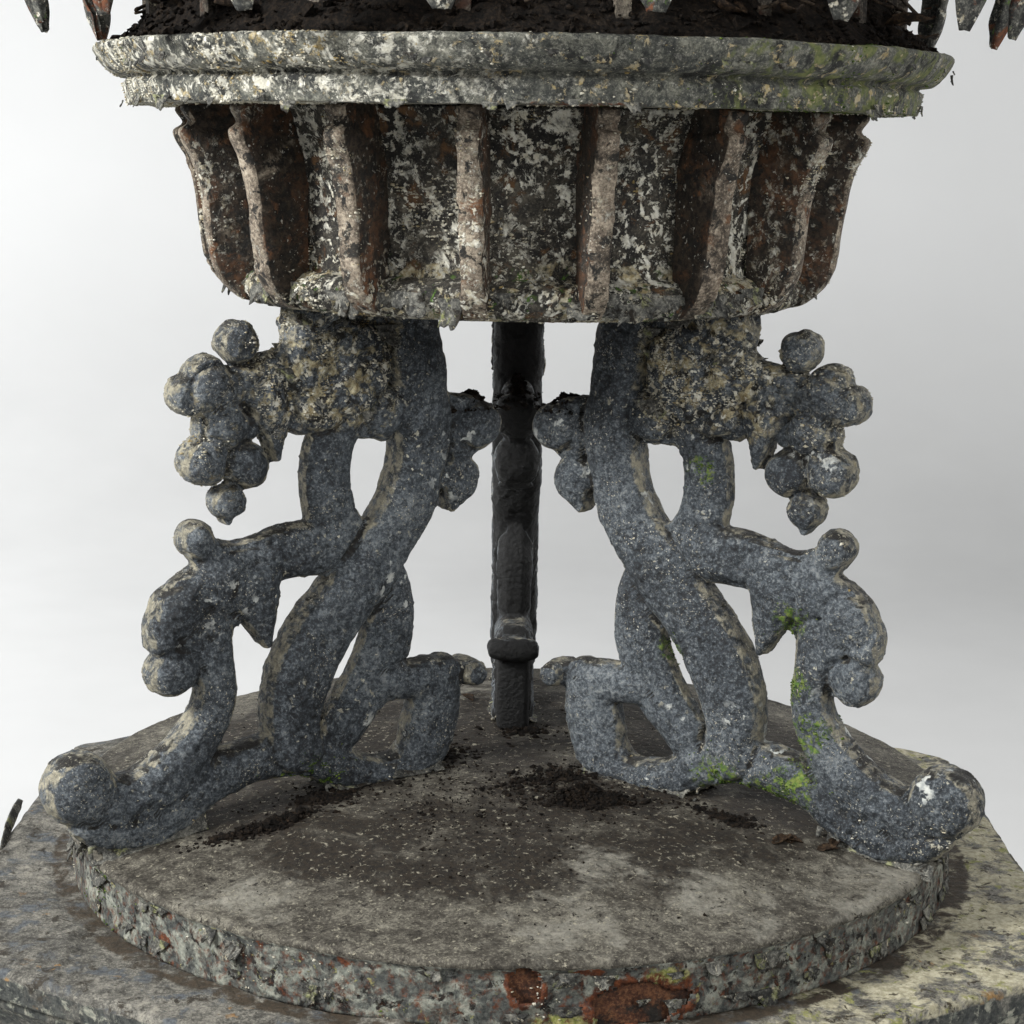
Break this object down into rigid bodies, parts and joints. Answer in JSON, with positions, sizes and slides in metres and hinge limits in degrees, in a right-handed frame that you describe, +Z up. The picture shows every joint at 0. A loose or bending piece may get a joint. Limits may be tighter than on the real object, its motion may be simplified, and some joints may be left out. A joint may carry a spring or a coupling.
{
  "type": "street clock head",
  "caption": "Hexagonal street clock head with round dials and an openwork scroll-bracket crown, ribbed capital, round cornice, leaf gallery and domed roof.",
  "frame": {"origin": "centre of the underside of the mounting flange, which is the bottom of the head", "axes": "+Z up; -Y towards the corner of the hexagonal slab that the front view looks at; dials face 60, 180 and 300 degrees from +X"},
  "size_m": [1.1674, 1.348, 2.634],
  "materials": {
    "zinc_skin": "weathered zinc sheet, grey-blue with pale crust, dirt and moss",
    "rusty_iron": "rusted iron with dark dirt",
    "frame_iron": "old dark paint over steel",
    "steel": "machined, oiled",
    "brass": "dulled brass",
    "dial_enamel": "aged cream enamel",
    "hand_black": "satin black paint",
    "dial_glass": "clear, dusty at the rim"
  },
  "bodies": {
    "head": {"soffit_bowl": "zinc_skin", "side_panel_front": "zinc_skin", "side_panel_right": "zinc_skin", "slab_skin": "zinc_skin", "step_skin": "zinc_skin", "scroll_bracket_left": "zinc_skin", "scroll_bracket_right": "zinc_skin", "scroll_bracket_rear": "zinc_skin", "capital_drum": "zinc_skin", "cornice_ring": "zinc_skin", "leaf_crown": "zinc_skin", "dome": "zinc_skin", "finial": "zinc_skin", "dial_panel_a": "zinc_skin", "dial_panel_b": "zinc_skin", "dial_panel_c": "zinc_skin", "capital_ribs": "rusty_iron", "mounting_flange": "frame_iron", "floor_plate": "rusty_iron", "roof_core": "rusty_iron", "step_core": "rusty_iron", "capital_floor": "rusty_iron", "cornice_deck": "rusty_iron", "bracket_bolts": "rusty_iron", "gallery_cage": "rusty_iron", "centre_frame": "frame_iron", "case_frame": "frame_iron", "door_hinges": "frame_iron", "floor_bush": "brass", "dial_bezel_a": "zinc_skin", "dial_glass_a": "dial_glass", "dial_plate_a": "dial_enamel", "motion_bracket_a": "steel", "dial_bezel_b": "zinc_skin", "dial_glass_b": "dial_glass", "dial_plate_b": "dial_enamel", "motion_bracket_b": "steel", "dial_bezel_c": "zinc_skin", "dial_glass_c": "dial_glass", "dial_plate_c": "dial_enamel", "motion_bracket_c": "steel"},
    "drive": {"drive_shaft": "steel", "drive_bevel": "brass"},
    "door": {"access_door": "zinc_skin"},
    "latch": {"door_latch": "brass"},
    "minute_train_a": {"minute_arbor_a": "steel", "minute_hand_a": "hand_black"},
    "minute_wheel_body_a": {"minute_wheel_a": "brass"},
    "hour_train_a": {"hour_wheel_a": "brass", "hour_hand_a": "hand_black"},
    "minute_train_b": {"minute_arbor_b": "steel", "minute_hand_b": "hand_black"},
    "minute_wheel_body_b": {"minute_wheel_b": "brass"},
    "hour_train_b": {"hour_wheel_b": "brass", "hour_hand_b": "hand_black"},
    "minute_train_c": {"minute_arbor_c": "steel", "minute_hand_c": "hand_black"},
    "minute_wheel_body_c": {"minute_wheel_c": "brass"},
    "hour_train_c": {"hour_wheel_c": "brass", "hour_hand_c": "hand_black"}
  },
  "joints": [
    {"name": "drive_turn", "type": "hinge", "parent": "head", "child": "drive", "pos_m": [0, 0, 0.5], "axis": [0, 0, -1], "continuous": true},
    {"name": "minute_turn_a", "type": "hinge", "parent": "head", "child": "minute_train_a", "pos_m": [0.15, 0.25981, 0.5], "axis": [-0.5, -0.866, 0], "continuous": true},
    {"name": "minute_wheel_turn_a", "type": "hinge", "parent": "head", "child": "minute_wheel_body_a", "pos_m": [0.235, 0.40703, 0.548], "axis": [-0.5, -0.866, 0], "continuous": true},
    {"name": "hour_turn_a", "type": "hinge", "parent": "head", "child": "hour_train_a", "pos_m": [0.24, 0.41569, 0.5], "axis": [-0.5, -0.866, 0], "continuous": true},
    {"name": "minute_turn_b", "type": "hinge", "parent": "head", "child": "minute_train_b", "pos_m": [-0.3, 0, 0.5], "axis": [1, 0, 0], "continuous": true},
    {"name": "minute_wheel_turn_b", "type": "hinge", "parent": "head", "child": "minute_wheel_body_b", "pos_m": [-0.47, 0, 0.548], "axis": [1, 0, 0], "continuous": true},
    {"name": "hour_turn_b", "type": "hinge", "parent": "head", "child": "hour_train_b", "pos_m": [-0.48, 0, 0.5], "axis": [1, 0, 0], "continuous": true},
    {"name": "minute_turn_c", "type": "hinge", "parent": "head", "child": "minute_train_c", "pos_m": [0.15, -0.25981, 0.5], "axis": [-0.5, 0.866, 0], "continuous": true},
    {"name": "minute_wheel_turn_c", "type": "hinge", "parent": "head", "child": "minute_wheel_body_c", "pos_m": [0.235, -0.40703, 0.548], "axis": [-0.5, 0.866, 0], "continuous": true},
    {"name": "hour_turn_c", "type": "hinge", "parent": "head", "child": "hour_train_c", "pos_m": [0.24, -0.41569, 0.5], "axis": [-0.5, 0.866, 0], "continuous": true},
    {"name": "door_swing", "type": "hinge", "parent": "head", "child": "door", "pos_m": [-0.0332, 0.6095, 0.5], "axis": [0, 0, -1], "range_deg": [0, 110]},
    {"name": "latch_turn", "type": "hinge", "parent": "door", "child": "latch", "pos_m": [-0.46092, 0.34234, 0.5], "axis": [0.5, -0.866, 0], "range_deg": [0, 90]}
  ],
  "couplings": [
    {"joint": "minute_turn_a", "follows": "drive_turn", "ratio": 1},
    {"joint": "minute_wheel_turn_a", "follows": "drive_turn", "ratio": -0.33333},
    {"joint": "hour_turn_a", "follows": "drive_turn", "ratio": 0.083333},
    {"joint": "minute_turn_b", "follows": "drive_turn", "ratio": 1},
    {"joint": "minute_wheel_turn_b", "follows": "drive_turn", "ratio": -0.33333},
    {"joint": "hour_turn_b", "follows": "drive_turn", "ratio": 0.083333},
    {"joint": "minute_turn_c", "follows": "drive_turn", "ratio": 1},
    {"joint": "minute_wheel_turn_c", "follows": "drive_turn", "ratio": -0.33333},
    {"joint": "hour_turn_c", "follows": "drive_turn", "ratio": 0.083333}
  ]
}
